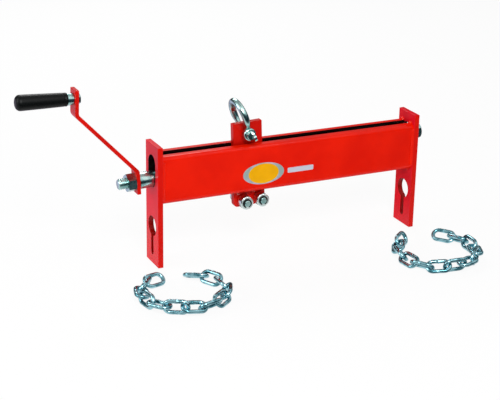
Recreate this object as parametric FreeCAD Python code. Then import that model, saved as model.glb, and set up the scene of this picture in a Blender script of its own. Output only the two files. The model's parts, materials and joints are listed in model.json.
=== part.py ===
import FreeCAD, Part
import math
import os

# Engine load leveler: two steel channels between slotted end plates, a cranked spindle that floats in
# the slots, a carriage with a shackle that the spindle drives along the beam, and two loose chains.
# Millimetres. X runs along the beam with the crank at -X, +Z is up, and the chains lie at -Y.

# End plates, with an oblong slot for the spindle and a keyhole for a chain
plate_width = 60.0
plate_height = 232.0
plate_thickness = 10.0
frame_length = 544.0
edge_round = 0.8
slot_width = 34.0
slot_base_land = 28.5
slot_top_land = 0.5
keyhole_diameter = 38.0
keyhole_height = 74.0
keyhole_slot_width = 11.0
keyhole_slot_base = 17.5

# Beam of two cold-formed channels, back to front across an open gap
plate_crown = 20.0
beam_height = 90.0
beam_setback = 3.0
beam_gap = 19.0
channel_wall = 4.0
channel_corner = 8.0
weld_leg = 5.0

# Fits and cutting allowances
seat_gap = 0.3
bush_seat_gap = 0.6
flange_gap = 1.2
running_clearance = 0.06
bolt_clearance = 0.05
cut_overrun = 2.0
full_round_share = 0.9999

# Spindle, its floating bushes, thrust collars and end nuts
spindle_diameter = 20.0
spindle_tail = 16.0
spindle_far_tail = 1.8
spindle_chamfer = 1.5
bush_diameter = 30.0
bush_reach = 26.5
far_bush_reach = 4.0
far_bush_headroom = 6.15
bush_flange_diameter = 38.0
bush_flange_thickness = 5.5
collar_diameter = 34.0
collar_length = 10.0
collar_pin_diameter = 6.0
nut_across_flats = 30.0
nut_height = 16.0
nut_chamfer = 1.4
far_nut_height = 10.0
far_nut_chamfer = 2.5
washer_diameter = 37.0
washer_thickness = 3.0

# Crank arm of flat bar with a dog-leg, and its revolving grip
arm_width = 28.0
arm_thickness = 7.0
arm_foot = 21.0
arm_bend_rise = 23.0
arm_offset = 106.0
arm_dogleg_rise = 122.5
arm_bend_radius = 6.0
handle_rise = 26.5
handle_lean = 4.6
arm_head = 18.0
handle_bolt_diameter = 10.0
handle_bolt_tail = 1.0
handle_nut_across_flats = 17.0
handle_nut_height = 5.0
handle_nut_chamfer = 0.8
handle_collar_diameter = 21.5
handle_collar_length = 11.5
grip_length = 91.0
grip_root_diameter = 24.0
grip_end_diameter = 28.6
grip_end_round = 9.0
grip_root_round = 1.0
grip_bore_depth = 75.0

# Carriage: threaded block on the spindle, lug above it, hanger plate with rollers below it
carriage_place = -81.5
lug_width = 58.5
lug_thickness = 12.0
lug_rise = 32.0
pin_rise = 12.8
pin_offset = -2.5
block_length = 56.0
block_size = 36.0
block_chamfer = 3.0
carriage_weld_leg = 6.0
hanger_width = 64.0
hanger_drop = 41.5
hanger_corner = 8.0
roller_spacing = 33.0
roller_offset = 3.0
roller_diameter = 25.5
roller_width = 18.0
roller_gap = 16.8
roller_chamfer = 1.2
axle_diameter = 12.0
axle_tail = 1.8
axle_chamfer = 0.8
circlip_diameter = 17.5
circlip_thickness = 1.2
circlip_groove = 0.5
circlip_mouth = 6.0
roller_washer_diameter = 20.0
roller_washer_thickness = 1.5

# Bow shackle with a screw pin
shackle_pin_diameter = 13.0
shackle_wire = 12.0
shackle_eye = 24.4
shackle_eye_width = 13.0
shackle_shoulder = 11.0
shackle_jaw = 22.0
bow_reach = 57.0
bow_inner_diameter = 44.0
shackle_lean = -17.0
pin_head_diameter = 17.0
pin_head_length = 6.0
pin_tail = 3.0
tab_length = 18.0
tab_width = 15.0
tab_thickness = 5.0
tab_hole = 7.0

# Chains: link sizes, where each chain starts, and how it is laid out link by link
chain_wire = 7.5
chain_pitch = 34.0
chain_width = 28.5
left_chain_x = -292.2
left_chain_y = -93.2
left_heading = 202.4
left_turns = (25, 26, 26, 26, 26, 22, 21, 25, 26, 26, 26, 26)
left_rolls = (142, 60, 165, 75, 175, 93, 24, 135, 45, 135, 45, 135, 30)
left_slack_shares = (0.055, 0.076, 0.061, 0.074, 0.075, 0.077, 0.080, 0.037, 0.039, 0.039, 0.039, 0.069)
right_chain_x = 277.6
right_chain_y = -102.9
right_heading = -52.2
right_turns = (-20, -20, -21, -23, -24, -24, -26, -26, -26, -21, -18, -19)
right_rolls = (38, 142, 68, 175, 95, 0, 75, 145, 38, 141, 45, 150, 60)
right_slack_shares = (0.052, 0.030, 0.064, 0.055, 0.054, 0.079, 0.072, 0.082, 0.059, 0.038, 0.047, 0.030)

# Places worked out from the sizes above
plate_outer_x = frame_length / 2
plate_inner_x = plate_outer_x - plate_thickness
beam_top = plate_height - plate_crown
beam_base = beam_top - beam_height
slot_base = beam_base + slot_base_land
slot_top = beam_top - slot_top_land
beam_face = plate_width / 2 - beam_setback
spindle_height = slot_base + bush_seat_gap + bush_diameter / 2
far_bush_rise = slot_top - far_bush_headroom - bush_diameter / 2 - spindle_height
spindle_tilt = math.degrees(math.atan2(far_bush_rise, frame_length - plate_thickness))
arm_inner_x = -plate_outer_x - bush_reach - seat_gap
arm_outer_x = arm_inner_x - arm_thickness
spindle_left_x = arm_outer_x - nut_height - spindle_tail
far_washer_x = plate_outer_x + far_bush_reach + seat_gap
far_nut_x = far_washer_x + washer_thickness
spindle_right_x = far_nut_x + far_nut_height + spindle_far_tail
flange_inner_x = plate_inner_x - flange_gap - bush_flange_thickness
collar_outer_x = flange_inner_x - seat_gap
collar_inner_x = collar_outer_x - collar_length
arm_low_z = spindle_height + arm_bend_rise
arm_high_z = arm_low_z + arm_dogleg_rise
arm_high_x = arm_inner_x - arm_offset
collar_end = -arm_thickness - handle_collar_length
grip_root = collar_end - seat_gap
block_base = spindle_height - block_size / 2
block_top = spindle_height + block_size / 2
pin_place = carriage_place + pin_offset
pin_height = beam_top + pin_rise
roller_place = carriage_place + roller_offset
roller_height = beam_base - roller_gap - roller_diameter / 2
roller_inner_y = lug_thickness / 2 + roller_washer_thickness + seat_gap
roller_outer_y = roller_inner_y + roller_width
circlip_inner_y = roller_outer_y + seat_gap
axle_end_y = circlip_inner_y + circlip_thickness + axle_tail


def vec(x, y, z):
    return FreeCAD.Vector(x, y, z)


def block(low, high):
    """Box between two corners."""
    size = high - low
    return Part.makeBox(size.x, size.y, size.z, low)


def soft_block(low, high, radius):
    """Box whose edges are all rounded."""
    solid = block(low, high)
    return solid.makeFillet(radius, solid.Edges)


def rod(radius, start, end):
    """Cylinder from one point to another."""
    along = end - start
    return Part.makeCylinder(radius, along.Length, start, along)


def chamfered_rod(radius, start, end, chamfer):
    """Cylinder with both rims chamfered."""
    solid = rod(radius, start, end)
    rims = [edge for edge in solid.Edges if isinstance(edge.Curve, Part.Circle)]
    return solid.makeChamfer(chamfer, rims)


def tube(radius, bore, start, end):
    """Round sleeve from one point to another."""
    return rod(radius, start, end).cut(rod(bore, start, end))


def rounded_face(corners, place):
    """Flat face through corners (u, v, radius), each rounded by an arc, put in space by place(u, v)."""
    points = []
    for i, (u, v, radius) in enumerate(corners):
        before = corners[i - 1]
        after = corners[(i + 1) % len(corners)]
        here = FreeCAD.Vector(u, v, 0)
        back = (FreeCAD.Vector(before[0], before[1], 0) - here).normalize()
        ahead = (FreeCAD.Vector(after[0], after[1], 0) - here).normalize()
        if radius == 0:
            points.append((here, None, here))
            continue
        half = back.getAngle(ahead) / 2
        run = radius / math.tan(half)
        middle = here + (back + ahead).normalize() * (radius / math.sin(half) - radius)
        points.append((here + back * run, middle, here + ahead * run))
    edges = []
    for i, (start, middle, end) in enumerate(points):
        if middle is not None:
            a, b, c = (place(p.x, p.y) for p in (start, middle, end))
            edges.append(Part.Arc(a, b, c).toShape())
        following = points[(i + 1) % len(points)][0]
        edges.append(Part.LineSegment(place(end.x, end.y), place(following.x, following.y)).toShape())
    return Part.Face(Part.Wire(edges))


def hex_nut(across_flats, height, bore, chamfer, start, way):
    """Hexagon nut with chamfered corners, its bore along X, standing on start towards way (+1 or -1)."""
    corner = across_flats / math.sqrt(3)
    ring = [(corner * math.cos(math.radians(a)), corner * math.sin(math.radians(a)), 0)
            for a in range(30, 390, 60)]
    face = rounded_face(ring, lambda u, v: start + vec(0, u, v))
    end = start + vec(way * height, 0, 0)
    prism = face.extrude(end - start)
    barrel = chamfered_rod(corner, start, end, chamfer)
    return prism.common(barrel).cut(rod(bore, start, end))


def both_sides(solid):
    """A solid and its mirror image across the plane Y = 0."""
    return [solid, solid.mirror(vec(0, 0, 0), vec(0, 1, 0))]


def end_plate(side):
    """End plate at -X or +X, with the oblong spindle slot and the chain keyhole."""
    inner = side * plate_inner_x
    outer = side * plate_outer_x
    left = min(inner, outer)
    low = vec(left, -plate_width / 2, 0)
    high = vec(left + plate_thickness, plate_width / 2, plate_height)
    solid = soft_block(low, high, edge_round)
    start = left - cut_overrun
    through = vec(plate_thickness + 2 * cut_overrun, 0, 0)
    half = slot_width / 2
    oblong = [(-half, slot_base, half), (half, slot_base, half), (half, slot_top, half), (-half, slot_top, half)]
    narrow = keyhole_slot_width / 2
    slit = [(-narrow, keyhole_slot_base, narrow), (narrow, keyhole_slot_base, narrow),
            (narrow, keyhole_height, 0), (-narrow, keyhole_height, 0)]
    for outline in (oblong, slit):
        solid = solid.cut(flat_ended(outline, start).extrude(through))
    centre = vec(start, 0, keyhole_height)
    return solid.cut(rod(keyhole_diameter / 2, centre, centre + through))


def flat_ended(outline, x):
    """Face in the plane at x through corners (y, z, radius); full-radius ends are allowed."""
    kept = [(y, z, radius * full_round_share) for y, z, radius in outline]
    return rounded_face(kept, lambda y, z: vec(x, y, z))


def channel():
    """Front channel: web at -Y, flanges turned in to the gap, outer corners rounded by the forming."""
    web = -beam_face
    lip = -beam_gap / 2
    inner = channel_corner - channel_wall
    outline = [
        (lip, beam_base, 0), (web, beam_base, channel_corner), (web, beam_top, channel_corner),
        (lip, beam_top, 0), (lip, beam_top - channel_wall, 0),
        (web + channel_wall, beam_top - channel_wall, inner),
        (web + channel_wall, beam_base + channel_wall, inner), (lip, beam_base + channel_wall, 0),
    ]
    face = rounded_face(outline, lambda y, z: vec(-plate_inner_x, y, z))
    return face.extrude(vec(2 * plate_inner_x, 0, 0))


def fillet_bead(corner, leg_a, leg_b, along):
    """Triangular weld bead in the corner between two faces, run out along a vector."""
    ring = [corner, corner + leg_a, corner + leg_b, corner]
    return Part.Face(Part.makePolygon(ring)).extrude(along)


def frame_weld_beads():
    """Beads that join both channels to both end plates, on the webs and on the flanges."""
    beads = []
    straight = beam_height - 2 * channel_corner
    flange = beam_face - channel_corner - beam_gap / 2
    for side in (-1, 1):
        x = side * plate_inner_x
        inward = vec(-side * weld_leg, 0, 0)
        web = vec(x, -beam_face, beam_base + channel_corner)
        top = vec(x, -beam_face + channel_corner, beam_top)
        base = vec(x, -beam_face + channel_corner, beam_base)
        beads += both_sides(fillet_bead(web, inward, vec(0, -beam_setback, 0), vec(0, 0, straight)))
        beads += both_sides(fillet_bead(top, inward, vec(0, 0, weld_leg), vec(0, flange, 0)))
        beads += both_sides(fillet_bead(base, inward, vec(0, 0, -weld_leg), vec(0, flange, 0)))
    return Part.makeCompound(beads)


def on_axis(x):
    """Point on the spindle's axis."""
    return vec(x, 0, spindle_height)


def bush(side, reach):
    """Flanged bush: its sleeve floats in an end plate's slot, its flange bears on the plate inside."""
    sleeve = rod(bush_diameter / 2, on_axis(side * flange_inner_x), on_axis(side * (plate_outer_x + reach)))
    flange_end = side * (flange_inner_x + bush_flange_thickness)
    flange = rod(bush_flange_diameter / 2, on_axis(side * flange_inner_x), on_axis(flange_end))
    bore = rod(spindle_diameter / 2 + running_clearance, on_axis(side * flange_inner_x),
               on_axis(side * (plate_outer_x + reach)))
    return sleeve.fuse(flange).cut(bore)


def collar_centre(side):
    return on_axis(side * (collar_outer_x + collar_inner_x) / 2)


def collar_pin_hole(side):
    """Cross hole for a collar's pin, through collar and spindle."""
    reach = vec(0, 0, collar_diameter / 2 + cut_overrun)
    centre = collar_centre(side)
    return rod(collar_pin_diameter / 2 + bolt_clearance, centre - reach, centre + reach)


def spindle():
    """Threaded spindle from the crank nut to the far nut, cross-drilled for the collar pins."""
    bar = chamfered_rod(spindle_diameter / 2, on_axis(spindle_left_x), on_axis(spindle_right_x), spindle_chamfer)
    for side in (-1, 1):
        bar = bar.cut(collar_pin_hole(side))
    return bar


def thrust_collars():
    rings = []
    for side in (-1, 1):
        ring = tube(collar_diameter / 2, spindle_diameter / 2 + bolt_clearance,
                    on_axis(side * collar_inner_x), on_axis(side * collar_outer_x))
        rings.append(ring.cut(collar_pin_hole(side)))
    return Part.makeCompound(rings)


def collar_pins():
    reach = vec(0, 0, collar_diameter / 2)
    centres = [collar_centre(side) for side in (-1, 1)]
    return Part.makeCompound([rod(collar_pin_diameter / 2, c - reach, c + reach) for c in centres])


def far_washer():
    return tube(washer_diameter / 2, spindle_diameter / 2 + bolt_clearance,
                on_axis(far_washer_x), on_axis(far_nut_x))


def arm_corner(before, here, after):
    """Outer corner of the bar, one thickness off the inner corner and square to both its neighbours."""
    first = (here - before).normalize()
    second = (after - here).normalize()
    normals = [vec(-way.z, 0, way.x) for way in (first, second)]
    return here + (normals[0] + normals[1]) * (arm_thickness / (1 + normals[0].dot(normals[1])))


def along_head(length):
    """Point on the inner face of the crank's head, a length above its bend."""
    lean = math.radians(handle_lean)
    return vec(arm_high_x + length * math.sin(lean), 0, arm_high_z + length * math.cos(lean))


def crank_arm():
    """Flat bar: upright foot on the spindle, dog-leg outwards, head for the handle."""
    foot = vec(arm_inner_x, 0, spindle_height - arm_foot)
    low = vec(arm_inner_x, 0, arm_low_z)
    high = vec(arm_high_x, 0, arm_high_z)
    head = along_head(handle_rise + arm_head)
    below = foot - vec(0, 0, arm_foot)
    above = along_head(handle_rise + 2 * arm_head)
    wide = arm_bend_radius + arm_thickness
    corners = [
        (foot, 0), (low, wide), (high, arm_bend_radius), (head, 0), (arm_corner(high, head, above), 0),
        (arm_corner(low, high, head), wide), (arm_corner(foot, low, high), arm_bend_radius),
        (arm_corner(below, foot, low), 0),
    ]
    outline = [(point.x, point.z, radius) for point, radius in corners]
    face = rounded_face(outline, lambda x, z: vec(x, -arm_width / 2, z))
    bar = face.extrude(vec(0, arm_width, 0))
    bar = bar.makeFillet(edge_round, bar.Edges)
    hub = rod(spindle_diameter / 2 + bolt_clearance, on_axis(arm_outer_x - cut_overrun),
              on_axis(arm_inner_x + cut_overrun))
    eye = rod(handle_bolt_diameter / 2 + bolt_clearance, vec(-arm_thickness - cut_overrun, 0, 0),
              vec(cut_overrun, 0, 0))
    return bar.cut(hub).cut(on_head(eye))


def on_head(solid):
    """Puts a piece made along X, with the head's inner face at zero, on the crank's leaning head."""
    return solid.rotate(vec(0, 0, 0), vec(0, 1, 0), handle_lean).translate(along_head(handle_rise))


def handle_bolt():
    """Bolt through the crank head that the grip turns on."""
    inner = vec(handle_nut_height + handle_bolt_tail, 0, 0)
    outer = vec(grip_root - grip_bore_depth + seat_gap, 0, 0)
    return on_head(chamfered_rod(handle_bolt_diameter / 2, outer, inner, edge_round))


def handle_nut():
    return on_head(hex_nut(handle_nut_across_flats, handle_nut_height, handle_bolt_diameter / 2 + bolt_clearance,
                           handle_nut_chamfer, vec(0, 0, 0), 1))


def handle_collar():
    barrel = chamfered_rod(handle_collar_diameter / 2, vec(collar_end, 0, 0), vec(-arm_thickness, 0, 0), edge_round)
    return on_head(barrel.cut(rod(handle_bolt_diameter / 2 + bolt_clearance, vec(collar_end, 0, 0),
                                  vec(-arm_thickness, 0, 0))))


def grip():
    """Revolving grip: swells from the collar to a domed free end, with a blind bore for the bolt."""
    free = grip_root - grip_length
    profile = [
        (grip_root, 0, 0), (grip_root, grip_root_diameter / 2, grip_root_round),
        (free, grip_end_diameter / 2, grip_end_round), (free, 0, 0),
    ]
    face = rounded_face(profile, lambda x, r: vec(x, 0, r))
    solid = face.revolve(vec(0, 0, 0), vec(1, 0, 0), 360)
    bore = rod(handle_bolt_diameter / 2 + running_clearance, vec(grip_root + cut_overrun, 0, 0),
               vec(grip_root - grip_bore_depth, 0, 0))
    return on_head(solid.cut(bore))


def carriage_lug():
    """Upper plate of the carriage, through the top gap of the beam, with the shackle's hole."""
    low = vec(carriage_place - lug_width / 2, -lug_thickness / 2, block_top)
    high = vec(carriage_place + lug_width / 2, lug_thickness / 2, beam_top + lug_rise)
    side = vec(0, lug_thickness / 2 + cut_overrun, 0)
    centre = vec(pin_place, 0, pin_height)
    hole = rod(shackle_pin_diameter / 2 + running_clearance, centre - side, centre + side)
    return soft_block(low, high, edge_round).cut(hole)


def roller_places():
    return [roller_place - roller_spacing / 2, roller_place + roller_spacing / 2]


def carriage_hanger():
    """Lower plate of the carriage, through the bottom gap of the beam, with both axle holes."""
    left = carriage_place - hanger_width / 2
    right = carriage_place + hanger_width / 2
    base = beam_base - hanger_drop
    outline = [(left, base, hanger_corner), (right, base, hanger_corner), (right, block_base, 0),
               (left, block_base, 0)]
    face = rounded_face(outline, lambda x, z: vec(x, -lug_thickness / 2, z))
    solid = face.extrude(vec(0, lug_thickness, 0))
    solid = solid.makeFillet(edge_round, solid.Edges)
    side = vec(0, lug_thickness / 2 + cut_overrun, 0)
    for x in roller_places():
        centre = vec(x, 0, roller_height)
        solid = solid.cut(rod(axle_diameter / 2 + bolt_clearance, centre - side, centre + side))
    return solid


def spindle_block():
    """Threaded block that the spindle drives, with chamfered long edges."""
    half = block_size / 2
    low = vec(carriage_place - block_length / 2, -half, block_base)
    high = vec(carriage_place + block_length / 2, half, block_top)
    solid = block(low, high)
    long_edges = [edge for edge in solid.Edges if abs(edge.tangentAt(edge.FirstParameter).x) == 1]
    solid = solid.makeChamfer(block_chamfer, long_edges)
    return solid.cut(rod(spindle_diameter / 2 + running_clearance, on_axis(low.x), on_axis(high.x)))


def carriage_weld_beads():
    """Beads that join the lug and the hanger to the block, front and rear."""
    beads = []
    leg = vec(0, -carriage_weld_leg, 0)
    run = vec(block_length, 0, 0)
    left = carriage_place - block_length / 2
    for z, rise in ((block_top, carriage_weld_leg), (block_base, -carriage_weld_leg)):
        corner = vec(left, -lug_thickness / 2, z)
        beads += both_sides(fillet_bead(corner, leg, vec(0, 0, rise), run))
    return Part.makeCompound(beads)


def roller_axles():
    """Two axles through the hanger, with a groove near each end for a circlip."""
    bars = []
    for x in roller_places():
        bar = chamfered_rod(axle_diameter / 2, vec(x, -axle_end_y, roller_height),
                            vec(x, axle_end_y, roller_height), axle_chamfer)
        for side in (-1, 1):
            start = vec(x, side * circlip_inner_y, roller_height)
            end = vec(x, side * (circlip_inner_y + circlip_thickness), roller_height)
            bar = bar.cut(tube(axle_diameter / 2, axle_diameter / 2 - circlip_groove, start, end))
        bars.append(bar)
    return Part.makeCompound(bars)


def roller_circlips():
    """Open spring rings in the axle grooves."""
    rings = []
    for x in roller_places():
        for side in (-1, 1):
            start = vec(x, side * circlip_inner_y, roller_height)
            end = vec(x, side * (circlip_inner_y + circlip_thickness), roller_height)
            ring = tube(circlip_diameter / 2, axle_diameter / 2 - circlip_groove + bolt_clearance, start, end)
            low = vec(x - circlip_mouth / 2, min(start.y, end.y), roller_height - circlip_diameter)
            high = vec(x + circlip_mouth / 2, max(start.y, end.y), roller_height)
            rings.append(ring.cut(block(low, high)))
    return Part.makeCompound(rings)


def roller_washers():
    rings = []
    for x in roller_places():
        for side in (-1, 1):
            start = vec(x, side * lug_thickness / 2, roller_height)
            end = start + vec(0, side * roller_washer_thickness, 0)
            rings.append(tube(roller_washer_diameter / 2, axle_diameter / 2 + bolt_clearance, start, end))
    return Part.makeCompound(rings)


def roller(x, side):
    """Steel roller that runs on an axle, with chamfered rims."""
    start = vec(x, side * roller_inner_y, roller_height)
    end = vec(x, side * roller_outer_y, roller_height)
    wheel = chamfered_rod(roller_diameter / 2, start, end, roller_chamfer)
    return wheel.cut(rod(axle_diameter / 2 + running_clearance, start, end))


def lean_shackle(solid):
    """Turns a shackle piece about the pin, from upright to how it leans at rest."""
    return solid.rotate(vec(pin_place, 0, pin_height), vec(0, 1, 0), shackle_lean)


def shackle_bow():
    """Bow of round bar: legs that spread from a shoulder over each eye, tangent to a wide round top."""
    centre = vec(pin_place, 0, pin_height)
    wire = shackle_wire / 2
    radius = bow_inner_diameter / 2 + wire
    eye_y = (shackle_jaw + shackle_eye_width) / 2
    top = centre + vec(0, 0, bow_reach + wire - radius)
    rise = top.z - centre.z - shackle_shoulder
    reach = math.hypot(eye_y, rise)
    below = math.degrees(math.acos(radius / reach) - math.atan2(rise, eye_y))
    arc = Part.makeTorus(radius, wire, vec(0, 0, 0), vec(0, 0, 1), -180, 180, 180 - 2 * below)
    arc = arc.rotate(vec(0, 0, 0), vec(0, 0, 1), below)
    arc = arc.rotate(vec(0, 0, 0), vec(1, 0, 0), 90).rotate(vec(0, 0, 0), vec(0, 0, 1), 90)
    solid = arc.translate(top)
    turn = math.radians(below)
    touch_y = radius * math.cos(turn)
    touch_z = top.z + radius * math.sin(turn)
    for side in (-1, 1):
        eye = vec(pin_place, side * eye_y, pin_height)
        shoulder = eye + vec(0, 0, shackle_shoulder)
        flat = vec(0, shackle_eye_width / 2, 0)
        solid = solid.fuse(rod(wire, shoulder, vec(pin_place, side * touch_y, touch_z)))
        solid = solid.fuse(Part.makeSphere(wire, shoulder))
        solid = solid.fuse(rod(shackle_eye / 2, eye - flat, eye + flat))
    side = vec(0, eye_y + shackle_eye_width, 0)
    hole = rod(shackle_pin_diameter / 2 + bolt_clearance, centre - side, centre + side)
    return lean_shackle(solid.cut(hole).removeSplitter())


def shackle_pin():
    """Screw pin with a round head and a flat drilled tab at the front."""
    outer_y = shackle_jaw / 2 + shackle_eye_width
    head_y = -outer_y - pin_head_length
    centre = vec(pin_place, 0, pin_height)
    shank = rod(shackle_pin_diameter / 2, centre + vec(0, head_y, 0), centre + vec(0, outer_y + pin_tail, 0))
    head = chamfered_rod(pin_head_diameter / 2, centre + vec(0, head_y, 0), centre + vec(0, -outer_y, 0),
                         edge_round)
    half = tab_width / 2
    end = head_y - tab_length
    outline = [(head_y, -half, 0), (end, -half, half * full_round_share), (end, half, half * full_round_share),
               (head_y, half, 0)]
    face = rounded_face(outline, lambda y, z: centre + vec(-tab_thickness / 2, y, z))
    tab = face.extrude(vec(tab_thickness, 0, 0))
    hole_y = end + half
    hole = rod(tab_hole / 2, centre + vec(-tab_thickness, hole_y, 0), centre + vec(tab_thickness, hole_y, 0))
    return lean_shackle(shank.fuse(head).fuse(tab.cut(hole)).removeSplitter())


def chain_link():
    """One link about the origin: round bar, long axis along X, flat in the XY plane."""
    wire = chain_wire / 2
    bend = chain_width / 2 - wire
    run = (chain_pitch + chain_wire) / 2 - bend
    solid = None
    for side in (-1, 1):
        arc = Part.makeTorus(bend, wire, vec(0, 0, 0), vec(0, 0, 1), -180, 180, 180)
        arc = arc.rotate(vec(0, 0, 0), vec(0, 0, 1), -90 * side).translate(vec(side * run, 0, 0))
        bar = rod(wire, vec(-run, side * bend, 0), vec(run, side * bend, 0))
        solid = arc.fuse(bar) if solid is None else solid.fuse(arc).fuse(bar)
    return solid.removeSplitter()


def chain_slacks(shares):
    """Play at each joint of a chain, with none at its two free ends."""
    return [0, *(share * chain_pitch for share in shares), 0]


def chain_route(x, y, heading, turns, rolls, slack_shares):
    """Joints between links, one before the first link and one after the last, resting on the floor.

    Each link takes one step along its heading, a pitch less half the play at its two joints. A joint is as
    high as the higher of its two links needs: the bar's radius and what the link's roll stands up."""
    slacks = chain_slacks(slack_shares)
    bend = (chain_width - chain_wire) / 2
    needs = [bend * abs(math.sin(math.radians(roll))) + chain_wire / 2 for roll in rolls]
    heights = [needs[0]] + [max(pair) for pair in zip(needs, needs[1:])] + [needs[-1]]
    points = [vec(x, y, heights[0])]
    for i, height in enumerate(heights[1:]):
        step = chain_pitch - (slacks[i] + slacks[i + 1]) / 2
        angle = math.radians(heading + sum(turns[:i]))
        points.append(vec(points[-1].x + step * math.cos(angle), points[-1].y + step * math.sin(angle), height))
    return points


def chain(joints, rolls, slack_shares):
    """Links laid between their joints, each rolled about its own length, lowered to touch the floor."""
    pattern = chain_link()
    slacks = chain_slacks(slack_shares)
    links = []
    for i, (start, end, roll) in enumerate(zip(joints, joints[1:], rolls)):
        along = (end - start).normalize()
        level = vec(-along.y, along.x, 0).normalize()
        upward = along.cross(level)
        turn = math.radians(roll)
        across = level * math.cos(turn) + upward * math.sin(turn)
        normal = along.cross(across)
        middle = (start + end) / 2 + along * ((slacks[i + 1] - slacks[i]) / 4)
        place = FreeCAD.Matrix(along.x, across.x, normal.x, middle.x, along.y, across.y, normal.y, middle.y,
                               along.z, across.z, normal.z, middle.z, 0, 0, 0, 1)
        link = pattern.copy()
        link.Placement = FreeCAD.Placement(place)
        links.append(link)
    lowest = min(link.optimalBoundingBox(False, False).ZMin for link in links)
    return [link.translate(vec(0, 0, -lowest)) for link in links]


def settle(solid):
    """Turns a piece of the floating spindle about its left bush, from level to how it lies at rest."""
    return solid.rotate(tilt_pivot, vec(0, 1, 0), -spindle_tilt)


def build():
    """Every piece by its node name, placed about the middle of the frame at floor level."""
    spindle_bore = spindle_diameter / 2 + bolt_clearance
    pieces = {
        "left_bush": bush(-1, bush_reach),
        "right_bush": bush(1, far_bush_reach),
        "spindle": spindle(),
        "thrust_collars": thrust_collars(),
        "collar_pins": collar_pins(),
        "far_washer": far_washer(),
        "far_nut": hex_nut(nut_across_flats, far_nut_height, spindle_bore, far_nut_chamfer,
                           on_axis(far_nut_x), 1),
        "crank_arm": crank_arm(),
        "crank_nut": hex_nut(nut_across_flats, nut_height, spindle_bore, nut_chamfer, on_axis(arm_outer_x), -1),
        "handle_bolt": handle_bolt(),
        "handle_nut": handle_nut(),
        "handle_collar": handle_collar(),
        "grip": grip(),
        "carriage_lug": carriage_lug(),
        "carriage_hanger": carriage_hanger(),
        "spindle_block": spindle_block(),
        "carriage_welds": carriage_weld_beads(),
        "roller_axles": roller_axles(),
        "roller_circlips": roller_circlips(),
        "roller_washers": roller_washers(),
        "shackle_bow": shackle_bow(),
        "shackle_pin": shackle_pin(),
    }
    for side, face in ((-1, "front"), (1, "rear")):
        for x, hand in zip(roller_places(), ("left", "right")):
            pieces[f"{face}_{hand}_roller"] = roller(x, side)
    pieces = {node: settle(solid) for node, solid in pieces.items()}
    pieces["left_end_plate"] = end_plate(-1)
    pieces["right_end_plate"] = end_plate(1)
    pieces["front_channel"], pieces["rear_channel"] = both_sides(channel())
    pieces["frame_welds"] = frame_weld_beads()
    left_links = chain(left_joints, left_rolls, left_slack_shares)
    right_links = chain(right_joints, right_rolls, right_slack_shares)
    for hand, links in (("left", left_links), ("right", right_links)):
        for number, link in enumerate(links, 1):
            pieces[f"{hand}_chain_link_{number:02d}"] = link
    return pieces


tilt_pivot = on_axis(-plate_outer_x + plate_thickness / 2)
left_joints = chain_route(left_chain_x, left_chain_y, left_heading, left_turns, left_rolls, left_slack_shares)
right_joints = chain_route(right_chain_x, right_chain_y, right_heading, right_turns, right_rolls,
                           right_slack_shares)
pieces = build()

# The origin is the middle of the whole part's box, at floor level
box = Part.makeCompound(list(pieces.values())).optimalBoundingBox(False, False)
datum = vec((box.XMin + box.XMax) / 2, (box.YMin + box.YMax) / 2, box.ZMin)

os.makedirs("parts", exist_ok=True)
for node, solid in pieces.items():
    solid.translate(-datum)
    solid.exportStep(f"parts/{node}.step")
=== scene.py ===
import json
import math

import bpy
import numpy as np
from bpy.props import FloatProperty, FloatVectorProperty, PointerProperty
from mathutils import Matrix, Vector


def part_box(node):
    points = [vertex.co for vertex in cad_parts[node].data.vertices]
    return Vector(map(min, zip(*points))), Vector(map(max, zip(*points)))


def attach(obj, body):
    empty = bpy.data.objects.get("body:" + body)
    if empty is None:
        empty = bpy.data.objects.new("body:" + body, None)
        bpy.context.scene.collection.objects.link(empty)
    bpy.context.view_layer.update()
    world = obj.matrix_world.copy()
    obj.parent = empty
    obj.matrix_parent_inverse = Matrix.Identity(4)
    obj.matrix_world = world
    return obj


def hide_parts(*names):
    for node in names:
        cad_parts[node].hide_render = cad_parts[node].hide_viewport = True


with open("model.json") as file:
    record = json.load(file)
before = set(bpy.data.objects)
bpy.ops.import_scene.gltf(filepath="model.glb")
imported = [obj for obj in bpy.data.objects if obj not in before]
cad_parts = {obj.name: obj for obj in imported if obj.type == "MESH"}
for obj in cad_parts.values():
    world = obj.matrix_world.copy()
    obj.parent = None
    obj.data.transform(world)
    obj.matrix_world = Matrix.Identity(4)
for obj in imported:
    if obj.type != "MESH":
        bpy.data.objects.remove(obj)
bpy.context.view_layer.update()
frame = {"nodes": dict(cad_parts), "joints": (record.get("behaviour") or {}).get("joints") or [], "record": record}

bl_info = {
    "name": "Engine load leveler",
    "version": (1, 0, 0),
    "blender": (4, 5, 0),
    "location": "View3D > Sidebar > Leveler",
    "description": "Dresses the packed engine load leveler in its finishes and fine forms",
    "category": "Object",
}

NODES = frame["nodes"]
JOINTS = {joint["name"]: joint for joint in frame["joints"]}
MM = 0.001

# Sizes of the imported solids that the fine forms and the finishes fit
SPINDLE_RADIUS = 10.0 * MM
BEAM_GAP = 19.0 * MM
BEAM_SETBACK = 3.0 * MM
CHANNEL_WALL = 4.0 * MM
CHANNEL_CORNER = 8.0 * MM
WELD_LEG = 5.0 * MM
BLOCK_SIZE = 36.0 * MM
LUG_THICKNESS = 12.0 * MM
CARRIAGE_WELD_LEG = 6.0 * MM
# Cut-outs of the end plates: lower end, upper end and end radius, from the foot
SPINDLE_SLOT = (150.5 * MM, 211.5 * MM, 17.0 * MM)
KEYHOLE_BORE = (55.0 * MM, 93.0 * MM, 19.0 * MM)
KEYHOLE_SLIT = (17.5 * MM, 79.5 * MM, 5.5 * MM)
# How far a finish reaches past the edge that bounds it, and the width over which it fades
PAST_EDGE = 0.1 * MM
EDGE_FADE = 0.3 * MM
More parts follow.
